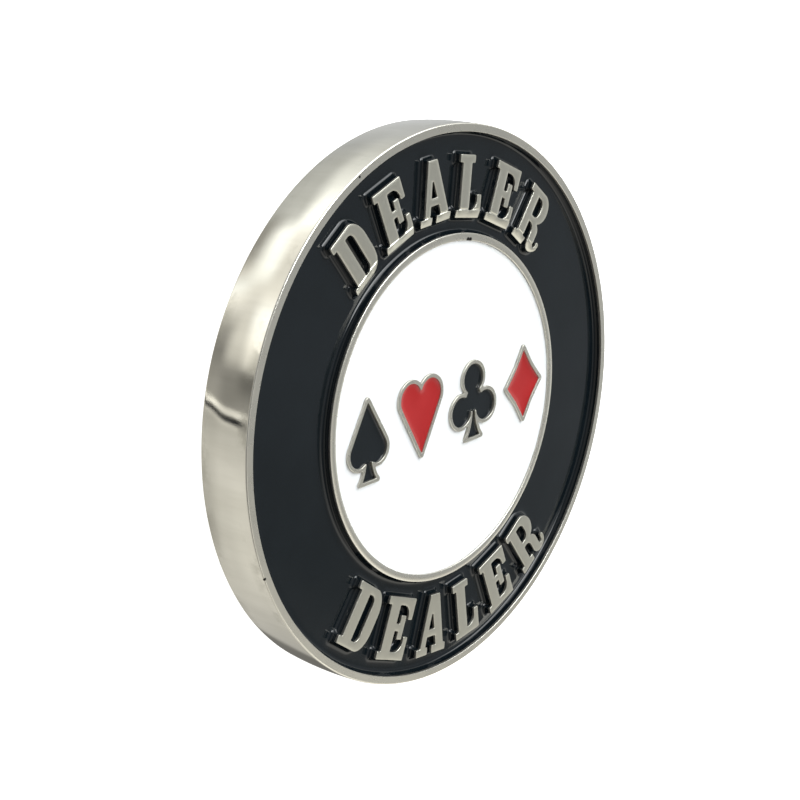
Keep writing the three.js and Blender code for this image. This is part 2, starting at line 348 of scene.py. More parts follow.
def full_size(drawing, height):
    """A letter's drawing in millimetres, with its corners as round as casting leaves them."""
    outline = without_repeats([(x * height, y * height) for x, y in drawing])
    return subdivide(soften(outline, CORNER_RADIUS, CORNER_RADIUS), LETTER_SIDE)


def letter_place(word, degrees):
    """Where a letter stands: a function from its own points to points of the face."""
    angle = -word["side"] * math.radians(degrees)
    cos, sin = math.cos(angle), math.sin(angle)
    foot = word["side"] * word["foot_radius"]

    def place(outline):
        return [(x * cos - (y + foot) * sin, x * sin + (y + foot) * cos) for x, y in outline]

    return place


# ---------------------------------------------------------------- suits
# Each suit is drawn around its own middle. Grown by 0 it is the inner edge of its raised
# outline, and grown by LINE_WIDTH it is the outer edge.

HEART = {"lobe_x": 1.564, "lobe_y": 2.586, "lobe_radius": 1.675, "side_angle": 29.3, "up": -1}
SPADE = {"lobe_x": 1.28, "lobe_y": -1.23, "lobe_radius": 1.48, "side_angle": 30.3, "up": 1}
SPADE_STEM = {"top": -1.6, "base": -4.33, "neck_half": 0.27, "base_half": 1.06}
CLUB_SIDE = (2.05, -0.76)
CLUB_TOP = 2.56
CLUB_LOBE = 1.67
CLUB_HUB = {"y": 0.3, "radius": 1.35}
CLUB_STEM = {"top": -0.9, "base": -3.94, "neck_half": 0.2, "base_half": 1.1}
DIAMOND_HALF = (3.05, 3.95)
DIAMOND_SIDE_RADIUS = 20


def round_arc(x, y, radius, start, end):
    return arc(x, y, radius, radius, start, end)


def lobes_and_tip(extra, lobe_x, lobe_y, lobe_radius, side_angle, up):
    """Two lobes side by side, closed by straight sides that touch them and meet in a tip."""
    radius = lobe_radius + extra
    slope = math.radians(side_angle)
    tip = (0, lobe_y + up * (radius + lobe_x * math.cos(slope)) / math.sin(slope))
    cusp = math.degrees(math.acos(lobe_x / radius))
    if up > 0:
        left = round_arc(-lobe_x, lobe_y, radius, 180 - side_angle, 360 - cusp)
        right = round_arc(lobe_x, lobe_y, radius, 180 + cusp, 360 + side_angle)
        return [*left, *right, tip]
    right = round_arc(lobe_x, lobe_y, radius, -side_angle, 180 - cusp)
    left = round_arc(-lobe_x, lobe_y, radius, cusp, 180 + side_angle)
    return [*right, *left, tip]


def flared_stem(extra, top, base, neck_half, base_half):
    """A stem that widens downwards, with hollow round sides that start upright at its neck."""
    flare = base_half - neck_half
    height = top - base
    side_radius = (flare**2 + height**2) / (2 * flare)
    sweep = math.degrees(math.asin((height + extra) / (side_radius - extra)))
    center = neck_half + side_radius
    left = round_arc(-center, top, side_radius - extra, 0, -sweep)
    right = round_arc(center, top, side_radius - extra, 180 + sweep, 180)
    return [*left, *right]


def diamond(extra):
    """Four slightly hollow sides, each an arc around a centre out beyond the side."""
    half_width, half_height = DIAMOND_HALF
    half_chord = math.hypot(half_width, half_height) / 2
    reach = math.sqrt(DIAMOND_SIDE_RADIUS**2 - half_chord**2) / (2 * half_chord)
    x = half_width / 2 + half_height * reach
    y = half_height / 2 + half_width * reach
    radius = DIAMOND_SIDE_RADIUS - extra
    tip = math.degrees(math.asin(x / radius))
    side = math.degrees(math.asin(y / radius))
    return [
        *round_arc(x, y, radius, 180 + side, 270 - tip),
        *round_arc(-x, y, radius, -90 + tip, -side),
        *round_arc(-x, -y, radius, side, 90 - tip),
        *round_arc(x, -y, radius, 90 + tip, 180 - side),
    ]


def club_parts(extra):
    lobe = CLUB_LOBE + extra
    side_x, side_y = CLUB_SIDE
    return [
        circle(lobe, 0, CLUB_TOP, LOBE_STEPS),
        circle(lobe, -side_x, side_y, LOBE_STEPS),
        circle(lobe, side_x, side_y, LOBE_STEPS),
        circle(CLUB_HUB["radius"] + extra, 0, CLUB_HUB["y"], HUB_STEPS),
        flared_stem(extra, **CLUB_STEM),
    ]


SUIT_PARTS = {
    "spade": lambda extra: [lobes_and_tip(extra, **SPADE), flared_stem(extra, **SPADE_STEM)],
    "heart": lambda extra: [lobes_and_tip(extra, **HEART)],
    "club": club_parts,
    "diamond": lambda extra: [diamond(extra)],
}


def split(outlines, inner=()):
    """Triangles over some outlines, and for each triangle the outlines that it lies inside."""
    inside_only = 1
    tolerance = 1e-6
    points = []
    faces = []
    for outline in outlines:
        faces.append(list(range(len(points), len(points) + len(outline))))
        points.extend(Vector(p) for p in outline)
    points.extend(Vector(p) for p in inner)
    points, _, triangles, _, _, owners = delaunay_2d_cdt(points, [], faces, inside_only, tolerance)
    return points, triangles, owners


def unite(outlines):
    """The one outline around overlapping outlines."""
    points, triangles, owners = split(outlines)
    sides = {
        (a, b)
        for triangle, owner in zip(triangles, owners)
        if owner
        for a, b in zip(triangle, [*triangle[1:], triangle[0]])
    }
    following = {a: b for a, b in sides if (b, a) not in sides}
    start = current = min(following)
    result = []
    while not result or current != start:
        result.append(tuple(points[current]))
        current = following[current]
    return result


def suit_outline(suit, extra):
    """A suit's outline on the face, grown by some distance."""
    parts = [without_repeats(part) for part in SUIT_PARTS[suit](extra)]
    outline = unite(parts) if len(parts) > 1 else parts[0]
    radius = TIP_RADIUS + 0.6 * extra
    outline = clear_corners(without_repeats(outline), radius, TIP_RADIUS)
    rounded = subdivide(soften(outline, radius, TIP_RADIUS), SUIT_SIDE)
    return [(x + SUIT_X[suit], y) for x, y in rounded]


# ---------------------------------------------------------------- surfaces


def triangulate(outlines, inner=()):
    """Triangles that fill the first outline and leave out the others, through the inner points."""
    points, triangles, owners = split(outlines, inner)
    return np.array(points), [triangle for triangle, owner in zip(triangles, owners) if owner == [0]]


def wall_distance(points, outlines):
    """The distance from each point to the nearest of the outlines."""
    corners = []
    walls = []
    for outline in outlines:
        first = len(corners)
        count = len(outline)
        for height in (-1, 1):
            corners.extend((x, y, height) for x, y in outline)
        for i in range(count):
            j = (i + 1) % count
            walls.append((first + i, first + j, first + count + j, first + count + i))
    tree = BVHTree.FromPolygons(corners, walls)
    return np.array([tree.find_nearest((x, y, 0))[3] for x, y in points])


def honeycomb(radius, spacing):
    """Evenly spread points over a disc."""
    rows = int(radius / (spacing * math.sqrt(0.75))) + 1
    points = [
        ((column + row % 2 / 2) * spacing, row * spacing * math.sqrt(0.75))
        for row in range(-rows, rows + 1)
        for column in range(-rows, rows + 1)
    ]
    return np.array([p for p in points if math.hypot(*p) < radius])


def rings(walls, distances):
    """Rows of points beside the walls, inside the first wall and outside the others.

    A row's points are left out where another wall is clearly nearer than the row's distance."""
    rows = []
    for index, wall in enumerate(walls):
        direction = outward(wall) * (-1 if index == 0 else 1)
        direction /= np.linalg.norm(direction, axis=1)[:, None]
        for distance in distances:
            row = np.array(wall) + direction * distance
            rows.append(row[wall_distance(row, walls) > 0.93 * distance])
    return np.concatenate(rows)


class Skin:
    """A surface gathered from patches and strips, each with the index of its finish."""

    def __init__(self):
        self.points = []
        self.faces = []
        self.finishes = []

    def patch(self, points, heights, triangles, finish=0):
        first = len(self.points)
        self.points.extend((x, y, z) for (x, y), z in zip(points, heights))
        self.faces.extend([first + i for i in triangle] for triangle in triangles)
        self.finishes.extend([finish] * len(triangles))

    def flat(self, outlines, height, finish=0):
        points, triangles = triangulate(outlines)
        self.patch(points, [height] * len(points), triangles, finish)

    def strip(self, lower, lower_heights, upper, upper_heights, finish=0):
        """Quads between two outlines that have the same number of points."""
        count = len(lower)
        first = len(self.points)
        for outline, heights in ((lower, lower_heights), (upper, upper_heights)):
            self.points.extend((x, y, z) for (x, y), z in zip(outline, heights))
        for i in range(count):
            j = (i + 1) % count
            self.faces.append([first + i, first + j, first + count + j, first + count + i])
        self.finishes.extend([finish] * count)

    def mesh(self, name):
        """One mesh in metres, welded, with its faces pointing out."""
        mesh = bpy.data.meshes.new(name)
        mesh.from_pydata([(x * MM, y * MM, z * MM) for x, y, z in self.points], [], self.faces)
        mesh.polygons.foreach_set("material_index", self.finishes)
        weld(mesh)
        return mesh


def weld(mesh):
    """Joins points that lie on each other, and refuses a mesh that isn't closed."""
    body = bmesh.new()
    body.from_mesh(mesh)
    bmesh.ops.remove_doubles(body, verts=body.verts, dist=WELD_DISTANCE * MM)
    bmesh.ops.recalc_face_normals(body, faces=body.faces)
    unused = [vertex for vertex in body.verts if not vertex.link_faces]
    bmesh.ops.delete(body, geom=unused, context="VERTS")
    open_edges = sum(not edge.is_manifold for edge in body.edges)
    body.to_mesh(mesh)
    body.free()
    if open_edges:
        raise RuntimeError(f"{mesh.name} has {open_edges} open edges")


def smooth(mesh, sharp_angle=40):
    mesh.shade_smooth()
    mesh.set_sharp_from_angle(angle=math.radians(sharp_angle))


# Turning the button over about X puts its top face underneath.
TURN_OVER = Matrix.Translation((0, 0, FACE * MM)) @ Matrix.Rotation(math.pi, 4, "X")


def add_piece(name, mesh, node, slot, materials):
    """A visible piece that stands for one node of the frame."""
    for material in materials:
        mesh.materials.append(material)
    piece = bpy.data.objects.new(name, mesh)
    bpy.context.scene.collection.objects.link(piece)
    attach(piece, "root")
    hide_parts(node)


# ---------------------------------------------------------------- the casting

POLISHED, LAPPED, SATIN, CAST = range(4)


def rounded_edge():
    """Steps over a rounded upper edge, from its wall to the flat: (step inwards, height)."""
    steps = []
    for angle in np.radians(np.linspace(0, 90, QUARTER_STEPS + 1)):
        steps.append((EDGE_ROUND * (1 - math.cos(angle)), -EDGE_ROUND * (1 - math.sin(angle))))
    return [*steps, (EDGE_ROUND + EDGE_BORDER, 0.0)]


def rim_profile():
    """The rim, from the middle of its side to the channel's floor: (radius, height, finish).

    The finish is that of the strip that ends at the point."""
    half = FACE / 2
    edge = RADIUS - SIDE_BULGE
    side = [
        (RADIUS - SIDE_BULGE * t**2, -half + (half - SIDE_FILLET) * t, POLISHED)
        for t in np.linspace(0, 1, 15)
    ]
    fillet = [
        (edge - SIDE_FILLET * (1 - math.cos(angle)), -SIDE_FILLET * (1 - math.sin(angle)), LAPPED)
        for angle in np.radians(np.linspace(0, 90, 6)[1:])
    ]
    return [
        *side,
        *fillet,
        (edge - SIDE_FILLET - EDGE_BORDER, 0.0, LAPPED),
        *((RIM_INNER_RADIUS + step, height, LAPPED) for step, height in reversed(rounded_edge())),
        (RIM_INNER_RADIUS - WALL_DRAFT, -CHANNEL_DEPTH, CAST),
    ]


def ring_profile():
    """The crowned inner ring, from the channel's floor to the dish's floor, as in rim_profile."""
    half = RING_WIDTH / 2
    middle = RING_INNER_RADIUS + half
    flat_half = half - EDGE_ROUND - EDGE_BORDER
    top = [
        *((RING_OUTER_RADIUS - step, height) for step, height in rounded_edge()),
        *((middle - flat_half * t, 0.0) for t in np.linspace(-1, 1, 7)[1:-1]),
        *((RING_INNER_RADIUS + step, height) for step, height in reversed(rounded_edge())),
    ]
    crowned = [
        (radius, height - RING_CROWN * ((radius - middle) / half) ** 2, CAST if i == 0 else LAPPED)
        for i, (radius, height) in enumerate(top)
    ]
    return [
        (RING_OUTER_RADIUS + WALL_DRAFT, -CHANNEL_DEPTH, CAST),
        *crowned,
        (RING_INNER_RADIUS - WALL_DRAFT, -DISH_DEPTH, CAST),
    ]


def add_turned(skin, profile):
    """The surface that a profile sweeps around the button's axis."""
    for (radius_a, height_a, _), (radius_b, height_b, finish) in zip(profile, profile[1:]):
        lower = circle(radius_a)
        upper = circle(radius_b)
        count = len(lower)
        skin.strip(lower, [height_a] * count, upper, [height_b] * count, finish)


def add_wall(skin, edge, side, depth, place, fall):
    """The wall and rounded top of an edge with metal inside it (side 1) or outside it (side -1).

    Returns the foot of the wall and the border of the flat top."""
    foot = grow(edge, side * WALL_DRAFT)
    lower = foot
    low = np.full(len(edge), -depth)
    finish = CAST
    for step, rise in rounded_edge():
        upper = grow(edge, -side * step)
        high = rise - fall(upper)
        skin.strip(place(lower), low, place(upper), high, finish)
        lower, low, finish = upper, high, SATIN
    return foot, lower


def add_letter(skin, word, degrees, drawing):
    """A raised letter on the channel's floor, and its counter's well."""
    outline, counter = drawing
    height = word["height"]
    slab = SLAB * height
    groove = slab + 1.5 * GROOVE_HALF
    around_groove = np.linspace(groove - 2 * GROOVE_HALF, groove + 2 * GROOVE_HALF, GROOVE_ROWS)
    place = letter_place(word, degrees)

    def fall(points):
        """How far the edge of the top is below the face: a worn foot, with a groove above it."""
        y = np.array(points)[:, 1]
        slope = word["foot_slope"] * np.clip(1 - y / slab, 0, 1)
        return word["wear"] + slope + word["groove"] * np.exp(-(((y - groove) / GROOVE_HALF) ** 2))

    foot, cap = add_wall(skin, full_size(outline, height), 1, CHANNEL_DEPTH, place, fall)
    caps = [cap]
    if counter:
        well, hole = add_wall(skin, full_size(counter, height), -1, CHANNEL_DEPTH, place, fall)
        caps.append(hole)
        skin.flat([place(well)], -CHANNEL_DEPTH, CAST)
    comb = honeycomb(height, LETTER_COMB) + (0, height / 2)
    comb = comb[wall_distance(comb, caps) > LETTER_ROWS[-1] + LETTER_MARGIN]
    rows = [slab - 0.03, *around_groove]
    columns = np.arange(-LETTER_HALF, LETTER_HALF, GROOVE_STEP)
    crease = np.array([(x, y) for x in columns for y in rows])
    crease = crease[wall_distance(crease, caps) > EDGE_ROUND]
    points, triangles = triangulate(caps, np.concatenate([rings(caps, LETTER_ROWS), comb, crease]))
    crown = word["wear"] * (1 - np.exp(-wall_distance(points, caps) / WEAR_REACH))
    skin.patch(place(points), crown - fall(points), triangles, SATIN)
    return place(foot)


def add_suit_line(skin, suit):
    """A suit's raised outline on the dish's floor, and the well inside it."""

    def place(points):
        return points

    def fall(points):
        return np.zeros(len(points))

    outer_edge = suit_outline(suit, LINE_WIDTH)
    foot, outer_border = add_wall(skin, outer_edge, 1, DISH_DEPTH, place, fall)
    well, inner_border = add_wall(skin, suit_outline(suit, 0), -1, DISH_DEPTH, place, fall)
    skin.flat([outer_border, inner_border], 0.0, LAPPED)
    skin.flat([well], -DISH_DEPTH, CAST)
    return foot


def casting_mesh():
    """The whole casting: the relief of one face, and the same turned over, on one core."""
    skin = Skin()
    rim = rim_profile()
    ring = ring_profile()
    add_turned(skin, rim)
    add_turned(skin, ring)
    feet = [
        add_letter(skin, word, degrees, DRAW_LETTER[letter]())
        for word in WORDS.values()
        for letter, degrees in zip(LETTERS, word["angles"])
    ]
    skin.flat([circle(rim[-1][0]), circle(ring[0][0]), *feet], -CHANNEL_DEPTH, CAST)
    lines = [add_suit_line(skin, suit) for suit in SUIT_X]
    skin.flat([circle(ring[-1][0]), *lines], -DISH_DEPTH, CAST)

    skin.points = [(x, y, z + FACE) for x, y, z in skin.points]
    count = len(skin.points)
    skin.points += [(x, -y, FACE - z) for x, y, z in skin.points]
    skin.faces += [[count + i for i in face] for face in skin.faces]
    skin.finishes += skin.finishes
    mesh = skin.mesh("casting")
    wave_side(mesh)
    smooth(mesh, 50)
    return mesh


def wave_side(mesh):
    """Draws the side of the rim in by a little, unevenly, as hand buffing leaves it."""
    for vertex in mesh.vertices:
        place = [value / MM for value in vertex.co]
        radius = math.hypot(*place[:2])
        if radius > RADIUS - SIDE_BULGE - SIDE_FILLET:
            steps = zip(place, SIDE_WAVE_LENGTHS)
            wave = noise.noise(Vector([value / length for value, length in steps]))
            scale = 1 - SIDE_WAVE * (0.8 + wave) / radius
            vertex.co.x *= scale
            vertex.co.y *= scale


# ---------------------------------------------------------------- the enamel

# How each enamel stands in its cell: the depths of its floor and its level, how far it climbs
# the walls, how quickly that climb dies out, and how far its surface is from flat.
FIELD_FILL = {
    "floor": CHANNEL_DEPTH, "level": BLACK_LEVEL, "climb": 0.82, "reach": 0.13, "ripple": 0.012,
}
WHITE_FILL = {
    "floor": DISH_DEPTH, "level": WHITE_LEVEL + WHITE_SUNK,
    "climb": 0.1, "reach": 0.6, "ripple": 0.01,
}
BLACK_SUIT_FILL = {
    "floor": DISH_DEPTH, "level": SUIT_LEVEL, "climb": 0.1, "reach": 0.13, "ripple": 0.03,
}
RED_SUIT_FILL = {
    "floor": DISH_DEPTH, "level": SUIT_LEVEL, "climb": 0.22, "reach": 0.6, "ripple": 0.02,
}


def brim(points):
    """How far below the face the enamel may reach: lower along the worn feet of the upper word."""
    upper = WORDS["upper"]
    slab = SLAB * upper["height"]
    radius = np.hypot(points[:, 0], points[:, 1])
    worn = np.clip(1 - (radius - upper["foot_radius"]) / slab, 0, 1)
    beside_word = (points[:, 1] > 0) & (radius > upper["foot_radius"] - 1)
    return BRIM + np.where(beside_word, upper["foot_slope"] * worn, 0)


def enamel_mesh(name, outlines, floor, level, climb, reach, ripple):
    """A poured fill: its surface climbs the walls around it, and its bottom is flat."""
    walls = [subdivide(outline, ENAMEL_SIDE) for outline in outlines]
    comb = honeycomb(max(math.hypot(*p) for p in walls[0]), ENAMEL_COMB)
    comb = comb[wall_distance(comb, walls) > ENAMEL_ROWS[-1] + ENAMEL_MARGIN]
    inner = np.concatenate([rings(walls, ENAMEL_ROWS), comb])

    def ripple_at(x, y):
        return noise.noise(Vector((x / RIPPLE_LENGTH, y / RIPPLE_LENGTH, 1.7)))

    def height(points):
        points = np.array(points)
        distance = wall_distance(points, walls)
        rise = climb * np.exp(-distance / reach)
        wave = np.array([ripple_at(x, y) for x, y in points])
        surface = FACE - level + rise + ripple * wave * np.minimum(1, distance)
        return np.minimum(surface, FACE - brim(points))

    skin = Skin()
    surface, triangles = triangulate(walls, inner)
    skin.patch(surface, height(surface), triangles)
    for wall in walls:
        skin.strip(wall, [FACE - floor] * len(wall), wall, height(wall))
    skin.flat(walls, FACE - floor)
    mesh = skin.mesh(name)
    smooth(mesh)
    return mesh


def enamel_meshes():
    """Every fill of the top face, with the finish that it takes."""
    outlines = []
    counters = {}
    for word_name, word in WORDS.items():
        for letter, degrees in zip(LETTERS, word["angles"]):
            outline, counter = DRAW_LETTER[letter]()
            place = letter_place(word, degrees)
            edge = full_size(outline, word["height"])
            outlines.append(place(grow(edge, -ENAMEL_OVERLAP)))
            if counter:
                well = full_size(counter, word["height"])
                counters[f"{word_name}_{letter}_counter"] = place(grow(well, ENAMEL_OVERLAP))
    channel = [
        circle(RIM_INNER_RADIUS + ENAMEL_OVERLAP),
        circle(RING_OUTER_RADIUS - ENAMEL_OVERLAP),
        *outlines,
    ]
    meshes = {"black_field": (enamel_mesh("black_field", channel, **FIELD_FILL), "black_enamel")}
    for name, outline in counters.items():
        meshes[name] = (enamel_mesh(name, [outline], **FIELD_FILL), "black_enamel")

    around_suits = [suit_outline(suit, LINE_WIDTH - ENAMEL_OVERLAP) for suit in SUIT_X]
    dish = [circle(RING_INNER_RADIUS + ENAMEL_OVERLAP), *around_suits]
    meshes["white_field"] = (enamel_mesh("white_field", dish, **WHITE_FILL), "white_enamel")
    for suit in SUIT_X:
        well = suit_outline(suit, ENAMEL_OVERLAP)
        red = suit in ("heart", "diamond")
        fill = RED_SUIT_FILL if red else BLACK_SUIT_FILL
        meshes[suit] = (enamel_mesh(suit, [well], **fill), "red_enamel" if red else "black_enamel")
    return meshes


# ---------------------------------------------------------------- finishes


def add_node(tree, kind, inputs=None, **settings):
    """A new node. An input is set to a value, or joined where it is another node's socket."""
    node = tree.nodes.new(kind)
    for key, value in settings.items():
        setattr(node, key, value)
    for key, value in (inputs or {}).items():
        if isinstance(value, bpy.types.NodeSocket):
            tree.links.new(value, node.inputs[key])
        else:
            node.inputs[key].default_value = value
    return node


class Nodes:
    """A material's node tree, with short ways to add and join nodes."""

    def __init__(self, name):
        self.material = bpy.data.materials.new(name)
        self.material.use_nodes = True
        self.tree = self.material.node_tree
        self.shader = self.tree.nodes["Principled BSDF"]

    def add(self, kind, inputs=None, **settings):
        return add_node(self.tree, kind, inputs, **settings)

    def position(self, scale=(1, 1, 1)):
        """The object's own coordinates, in metres, stretched by some factors."""
        place = self.add("ShaderNodeTexCoord").outputs["Object"]
        return self.add("ShaderNodeMapping", {"Vector": place, "Scale": scale}).outputs["Vector"]

    def noise(self, scale, detail=2.0, roughness=0.5, vector=None):
        """Fractal noise whose features are about 1 / scale metres wide."""
        vector = vector or self.position()
        inputs = {"Vector": vector, "Scale": scale, "Detail": detail, "Roughness": roughness}
        return self.add("ShaderNodeTexNoise", inputs).outputs["Fac"]

    def remap(self, value, low, high, to_low=0.0, to_high=1.0):
        inputs = {
            "Value": value, "From Min": low, "From Max": high, "To Min": to_low, "To Max": to_high,
        }
        return self.add("ShaderNodeMapRange", inputs).outputs["Result"]

    def math(self, operation, a, b=0.0):
        return self.add("ShaderNodeMath", {0: a, 1: b}, operation=operation).outputs[0]

    def mix(self, factor, color_a, color_b):
        inputs = {0: factor, 6: color_a, 7: color_b}
        return self.add("ShaderNodeMix", inputs, data_type="RGBA").outputs[2]

    def specks(self, scale, size, share):
        """Small round specks, at a share of the cells of a grid: 1 in a speck, 0 elsewhere."""
        cells = self.add("ShaderNodeTexVoronoi", {"Vector": self.position(), "Scale": scale})
        near = self.remap(cells.outputs["Distance"], size, size * 0.6)
        pick = self.add("ShaderNodeSeparateColor", {"Color": cells.outputs["Color"]})
        chosen = self.math("LESS_THAN", pick.outputs[0], share)
        return self.math("MULTIPLY", near, chosen)

    def fleck(self, radius, degrees, size):
        """One small mark at a place of the plan: 1 inside it, 0 elsewhere."""
        angle = math.radians(degrees)
        center = (radius * math.cos(angle) * MM, radius * math.sin(angle) * MM, 0)
        inputs = {0: self.position((1, 1, 0)), 1: center}
        away = self.add("ShaderNodeVectorMath", inputs, operation="DISTANCE").outputs["Value"]
        return self.remap(away, size * MM, size * 0.7 * MM)

    def bump(self, height, distance, normal=None):
        inputs = {"Height": height, "Strength": 1.0, "Distance": distance}
        if normal is not None:
            inputs["Normal"] = normal
        return self.add("ShaderNodeBump", inputs).outputs["Normal"]

    def set(self, **inputs):
        for key, value in inputs.items():
            socket = self.shader.inputs[key.replace("_", " ")]
            if isinstance(value, bpy.types.NodeSocket):
                self.tree.links.new(value, socket)
            else:
                socket.default_value = value


# Colours, in pairs where a surface is clouded.
POLISHED_COLORS = ((0.81, 0.795, 0.73, 1), (0.76, 0.745, 0.675, 1))
STREAK_COLOR = (0.67, 0.655, 0.59, 1)
# The smudges' colour, which also paints shade along both edges of the rim's side.
SMUDGE_AND_EDGE_SHADE_COLOR = (0.50, 0.49, 0.43, 1)
PIT_COLOR = (0.1, 0.095, 0.08, 1)
NICK_COLOR = (0.03, 0.03, 0.03, 1)
LAPPED_COLORS = ((0.88, 0.86, 0.78, 1), (0.80, 0.78, 0.70, 1))
SATIN_COLORS = ((0.74, 0.73, 0.645, 1), (0.62, 0.61, 0.535, 1))
CAST_COLORS = ((0.62, 0.60, 0.54, 1), (0.45, 0.435, 0.39, 1))
BLACK_COLORS = ((0.0036, 0.0066, 0.009, 1), (0.005, 0.0086, 0.0115, 1))
WHITE_COLORS = ((0.95, 0.965, 0.975, 1), (0.92, 0.945, 0.965, 1))
RED_COLORS = ((0.43, 0.018, 0.019, 1), (0.39, 0.015, 0.016, 1))
BLACK_SPECK = (0.09, 0.09, 0.09, 1)
WHITE_SPECK = (0.3, 0.3, 0.3, 1)
RED_SPECK = (0.2, 0.02, 0.02, 1)

# Nicks in the plating: distance from the middle, azimuth and size.
NICKS = (
    (RING_INNER_RADIUS + 0.12, 79.9, 0.28),
    (RING_INNER_RADIUS + 0.12, 81.2, 0.28),
    (RADIUS - 0.25, 199.5, 0.18),
    (RADIUS - 0.5, 118.0, 0.16),
)


def polished_nickel():
    """The buffed side of the rim: mirror bright, with fine lines, pits and faint clouding, and rougher
    smudges that also paint shade, darker towards both edges of the side.
    """
    m = Nodes("polished_nickel")
    clouds = m.remap(m.noise(220, 3), 0.35, 0.7)
    streaks = m.remap(m.noise(420, 3, 0.6, m.position((1, 1, 0.12))), 0.35, 0.68)
    pits = m.specks(230, 0.09, 0.05)
    height = m.add("ShaderNodeSeparateXYZ", {0: m.position()}).outputs["Z"]
    off_middle = m.math("ABSOLUTE", m.math("SUBTRACT", height, FACE / 2 * MM))
    half = FACE / 2 * MM
    near_edge = m.remap(off_middle, 0.5 * half, 0.85 * half)
    # Painted shade with smudges: the side turns darker and rougher towards both of its edges.
    smudges_and_edge_shade = m.math("MULTIPLY", m.remap(m.noise(160, 5, 0.65), 0.53, 0.62), near_edge)
    color = m.mix(clouds, *POLISHED_COLORS)
    color = m.mix(m.math("MULTIPLY", streaks, 0.55), color, STREAK_COLOR)
    color = m.mix(m.math("MULTIPLY", smudges_and_edge_shade, 0.55), color, SMUDGE_AND_EDGE_SHADE_COLOR)
    color = m.mix(m.math("MULTIPLY", pits, 0.8), color, PIT_COLOR)
    lines = m.noise(1800, 2, vector=m.position((1, 1, 0.04)))
    grain = m.noise(9000, 2)
    roughness = m.remap(clouds, 0, 1, 0.035, 0.07)
    roughness = m.math("ADD", roughness, m.math("MULTIPLY", lines, 0.03))
    roughness = m.math("ADD", roughness, m.math("MULTIPLY", smudges_and_edge_shade, 0.12))
    normal = m.bump(grain, 0.0000009)
    normal = m.bump(m.math("SUBTRACT", 1.0, pits), 0.00003, normal)
    m.set(Base_Color=color, Metallic=1.0, Roughness=roughness, Normal=normal)
    return m.material


def satin_nickel(name, colors, roughness, grain_depth):
    """The flat tops of the relief: an even satin with grain, short scratches and clouding."""
    m = Nodes(name)
    clouds = m.remap(m.noise(420, 3), 0.3, 0.72)
    color = m.mix(clouds, *colors)
    for radius, degrees, size in NICKS:
        color = m.mix(m.fleck(radius, degrees, size), color, NICK_COLOR)
    scratches = m.noise(2600, 2, vector=m.position((1, 0.06, 1)))
    scratches_across = m.noise(2200, 2, vector=m.position((0.08, 1, 1)))
    grain = m.noise(7500, 3, 0.6)
    relief = m.math("MULTIPLY", scratches, 0.5)
    relief = m.math("ADD", relief, m.math("MULTIPLY", scratches_across, 0.4))
    relief = m.math("ADD", relief, grain)
    gloss = m.remap(clouds, 0, 1, roughness, roughness + 0.07)
    m.set(Base_Color=color, Metallic=1.0, Roughness=gloss, Normal=m.bump(relief, grain_depth))
    return m.material


def cast_nickel():
    """Walls and floors of the relief: plating over the bare casting, dull and a little darker."""
    m = Nodes("cast_nickel")
    clouds = m.remap(m.noise(900, 4), 0.3, 0.7)
    color = m.mix(clouds, *CAST_COLORS)
    m.set(Base_Color=color, Metallic=1.0, Roughness=0.38, Normal=m.bump(m.noise(5000, 3), 0.000012))
    return m.material


def enamel(name, colors, speck_color, speck_share, roughness):
    """Baked soft enamel: glossy, with faint clouds, orange peel, dust specks and hairlines."""
    m = Nodes(name)
    clouds = m.remap(m.noise(180, 4), 0.35, 0.7)
    specks = m.specks(420, 0.11, speck_share)
    color = m.mix(clouds, *colors)
    color = m.mix(m.math("MULTIPLY", specks, 0.7), color, speck_color)
    peel = m.noise(850, 1)
    hairlines = m.remap(m.noise(2400, 2, vector=m.position((1, 0.03, 1))), 0.66, 0.72)
    normal = m.bump(peel, 0.0000022)
    normal = m.bump(m.math("ADD", specks, m.math("MULTIPLY", hairlines, 0.05)), 0.000012, normal)
    gloss = m.remap(clouds, 0, 1, roughness, roughness + 0.04)
    m.set(Base_Color=color, Roughness=gloss, IOR=1.48, Normal=normal)
    return m.material


def make_finishes():
    """The materials of each kind of piece. The casting's are in the order of its finishes."""
    return {
        "casting": [
            polished_nickel(),
            satin_nickel("lapped_nickel", LAPPED_COLORS, roughness=0.24, grain_depth=0.0000025),
            satin_nickel("satin_nickel", SATIN_COLORS, roughness=0.28, grain_depth=0.0000045),
            cast_nickel(),
        ],
        "black_enamel": [enamel("black_enamel", BLACK_COLORS, BLACK_SPECK, 0.02, roughness=0.07)],
        "white_enamel": [enamel("white_enamel", WHITE_COLORS, WHITE_SPECK, 0.015, roughness=0.09)],
        "red_enamel": [enamel("red_enamel", RED_COLORS, RED_SPECK, 0.01, roughness=0.07)],
    }


# ---------------------------------------------------------------- the button

finishes = make_finishes()
add_piece("casting", casting_mesh(), "cast_body", "nickel_plating", finishes["casting"])
for name, (mesh, slot) in enamel_meshes().items():
    turned = mesh.copy()
    turned.transform(TURN_OVER)
    add_piece(f"front_{name}_fill", mesh, f"front_{name}", slot, finishes[slot])
    add_piece(f"back_{name}_fill", turned, f"back_{name}", slot, finishes[slot])

# ---------------------------------------------------------------- stage, light and camera


def add_floor():
    """A plain white table top that the button lies on, a hair below it."""
    half = 3.0
    gap = 0.02 * MM
    mesh = bpy.data.meshes.new("floor")
    corners = [(-half, -half, 0), (half, -half, 0), (half, half, 0), (-half, half, 0)]
    mesh.from_pydata(corners, [], [(0, 1, 2, 3)])
    m = Nodes("floor_paper")
    m.set(Base_Color=(0.93, 0.93, 0.93, 1), Roughness=0.9, Emission_Color=(1, 1, 1, 1))
    m.shader.inputs["Specular IOR Level"].default_value = 0.0
    m.shader.inputs["Emission Strength"].default_value = 0.9
    mesh.materials.append(m.material)
    floor = bpy.data.objects.new("floor", mesh)
    floor.location.z = -gap
    floor.visible_glossy = False
    bpy.context.scene.collection.objects.link(floor)


